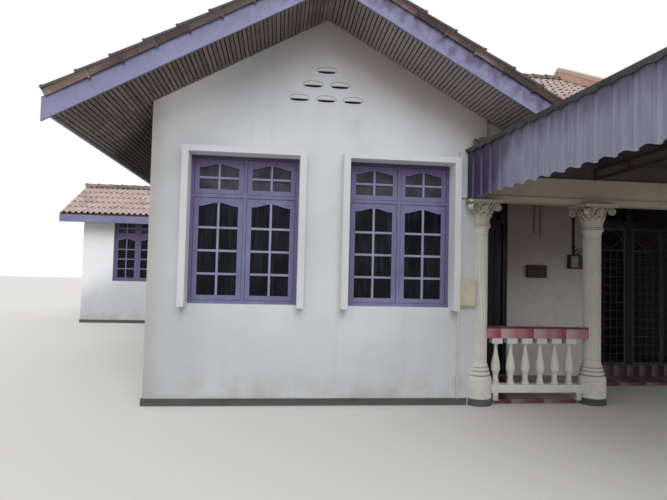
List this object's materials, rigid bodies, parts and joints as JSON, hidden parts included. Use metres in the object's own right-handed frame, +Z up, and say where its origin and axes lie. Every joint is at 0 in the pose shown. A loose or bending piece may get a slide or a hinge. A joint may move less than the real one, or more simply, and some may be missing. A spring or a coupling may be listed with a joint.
{
  "type": "bungalow",
  "caption": "Single-storey bungalow with a gabled front wing, tiled hipped roof, column veranda, hinged side door and corrugated metal carport.",
  "frame": {"origin": "On the ground under the gable's centre line, in the plane of the front wing's front wall face", "axes": "+X to the right along the front wall, +Y from the front to the back of the house, +Z up"},
  "size_m": [12.05, 16.29, 6.3362],
  "materials": {
    "floor_cement": "worn painted cement",
    "floor_tile": "dull glazed tile",
    "wall_paint": "white emulsion on cement plaster",
    "party_render": "orange emulsion on cement render",
    "coping_render": "bare pale cement",
    "conduit_plastic": "yellowed white",
    "beam_paint": "stained pale emulsion",
    "roof_tile": "weathered clay tile",
    "cap_tile": "weathered clay tile",
    "soffit_wood": "unpainted weathered boards",
    "board_paint": "faded lilac gloss paint",
    "joinery_paint": "violet gloss paint",
    "window_glass": "dark clear glass",
    "column_stone": "white painted cast stone",
    "rail_tile": "glazed tile in red, pink and white",
    "grille_steel": "dark paint",
    "sheet_lilac": "faded lilac coated sheet",
    "sheet_grey": "dull grey coated sheet",
    "frame_steel": "red oxide primer",
    "box_beige": "faded beige",
    "box_dark": "dark grey paint"
  },
  "bodies": {
    "house": {"floor_slab": "floor_cement", "plinth": "floor_cement", "veranda_floor": "floor_tile", "entrance_kerb": "floor_tile", "front_wall": "wall_paint", "wing_left_wall": "wall_paint", "wing_right_wall": "wall_paint", "annex_front_wall": "wall_paint", "annex_left_wall": "wall_paint", "rear_wall": "wall_paint", "party_wall": "party_render", "veranda_back_wall": "wall_paint", "veranda_wall_over": "wall_paint", "veranda_beam": "beam_paint", "veranda_upper_wall": "beam_paint", "veranda_ceiling": "wall_paint", "wing_roof_left": "roof_tile", "wing_roof_right": "roof_tile", "main_roof_front": "roof_tile", "rear_roof": "roof_tile", "annex_roof_front": "roof_tile", "ridge_caps": "cap_tile", "eave_tiles": "cap_tile", "soffits": "soffit_wood", "verge_bearers": "soffit_wood", "bargeboards": "board_paint", "verge_tiles": "cap_tile", "eave_boards": "board_paint", "window_surrounds": "wall_paint", "front_frames": "joinery_paint", "front_sashes": "joinery_paint", "front_glass": "window_glass", "back_windows": "joinery_paint", "back_glass": "window_glass", "vent_hoods": "wall_paint", "column_left": "column_stone", "column_middle": "column_stone", "column_right": "column_stone", "balustrade_rail": "rail_tile", "balusters": "column_stone", "balustrade_curb": "column_stone", "door_frame": "joinery_paint", "entrance_frame": "joinery_paint", "entrance_grilles": "grille_steel", "carport_roof": "sheet_grey", "carport_sides": "sheet_lilac", "carport_flashing": "sheet_grey", "carport_trusses": "frame_steel", "carport_purlins": "frame_steel", "carport_posts": "frame_steel", "carport_wall_strip": "wall_paint", "party_coping": "coping_render", "wall_conduits": "conduit_plastic", "meter_cover": "box_beige", "meter_box": "box_dark", "switch_panel": "box_dark"},
    "side_door": {"door_leaf": "joinery_paint"}
  },
  "joints": [
    {"name": "side_door_hinge", "type": "hinge", "parent": "house", "child": "side_door", "pos_m": [1.958, 1.563, 0.3], "axis": [0, 0, 1], "range_deg": [0, 90]}
  ]
}
